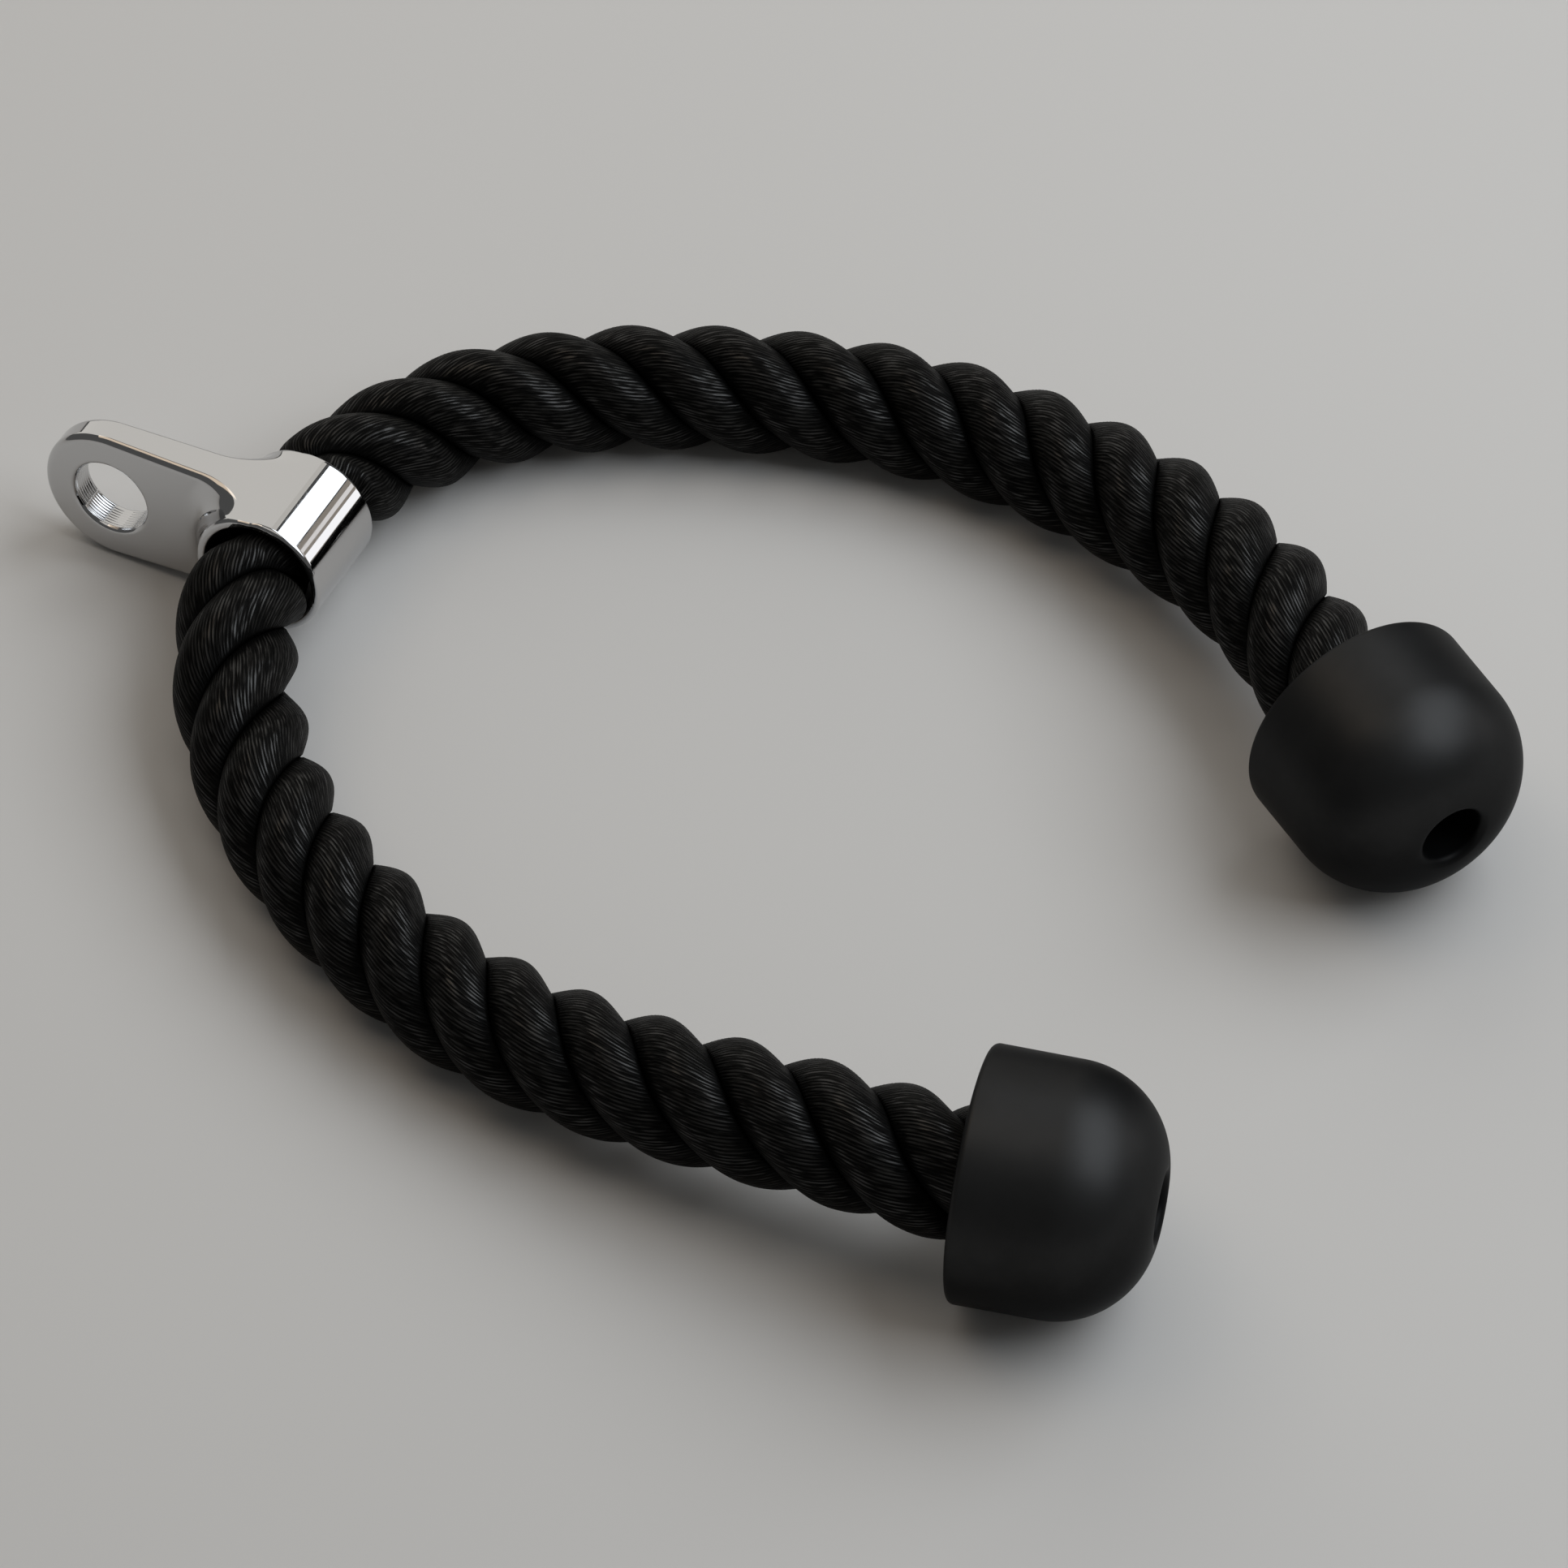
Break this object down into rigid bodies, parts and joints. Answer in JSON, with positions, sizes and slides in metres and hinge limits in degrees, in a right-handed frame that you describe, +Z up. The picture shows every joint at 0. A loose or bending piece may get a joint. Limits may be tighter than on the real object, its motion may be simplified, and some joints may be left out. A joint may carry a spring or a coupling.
{
  "type": "triceps rope attachment",
  "caption": "Triceps rope attachment: a thick black laid rope bent into a U through a chromed collar with an eye, a rubber cap screwed onto each end.",
  "frame": {"origin": "bottom centre of the bounding box, on the ground the rope lies on", "axes": "+X from the eye towards the open end of the U, +Y along the collar's tube towards the far arm, +Z up from the ground"},
  "size_m": [0.3532, 0.2576, 0.0572],
  "materials": {
    "chrome": "polished",
    "rope": "twisted fibre, slight sheen",
    "rubber": "satin",
    "steel": "zinc plated",
    "dark_steel": "black oxide"
  },
  "bodies": {
    "collar": {"eye_collar": "chrome"},
    "rope_middle": {"strand_1_middle": "rope", "strand_2_middle": "rope", "strand_3_middle": "rope"},
    "near_arm": {"strand_1_near": "rope", "strand_2_near": "rope", "strand_3_near": "rope", "near_rubber_cap": "rubber", "near_crimp_ring": "steel", "near_washer": "steel", "near_coach_screw": "dark_steel"},
    "far_arm": {"strand_1_far": "rope", "strand_2_far": "rope", "strand_3_far": "rope", "far_rubber_cap": "rubber", "far_crimp_ring": "steel", "far_washer": "steel", "far_coach_screw": "dark_steel"}
  },
  "joints": [
    {"name": "collar_swivel", "type": "hinge", "parent": "collar", "child": "rope_middle", "pos_m": [-0.1149, 0.0096, 0.01968], "axis": [0, 0.9969, -0.0785], "continuous": true},
    {"name": "near_arm_swing", "type": "hinge", "parent": "rope_middle", "child": "near_arm", "pos_m": [-0.11479, -0.00839, 0.02101], "axis": [0, 0, -1], "range_deg": [-7, 40]},
    {"name": "far_arm_swing", "type": "hinge", "parent": "rope_middle", "child": "far_arm", "pos_m": [-0.11483, 0.0276, 0.01822], "axis": [0, 0, 1], "range_deg": [-7, 40]}
  ]
}
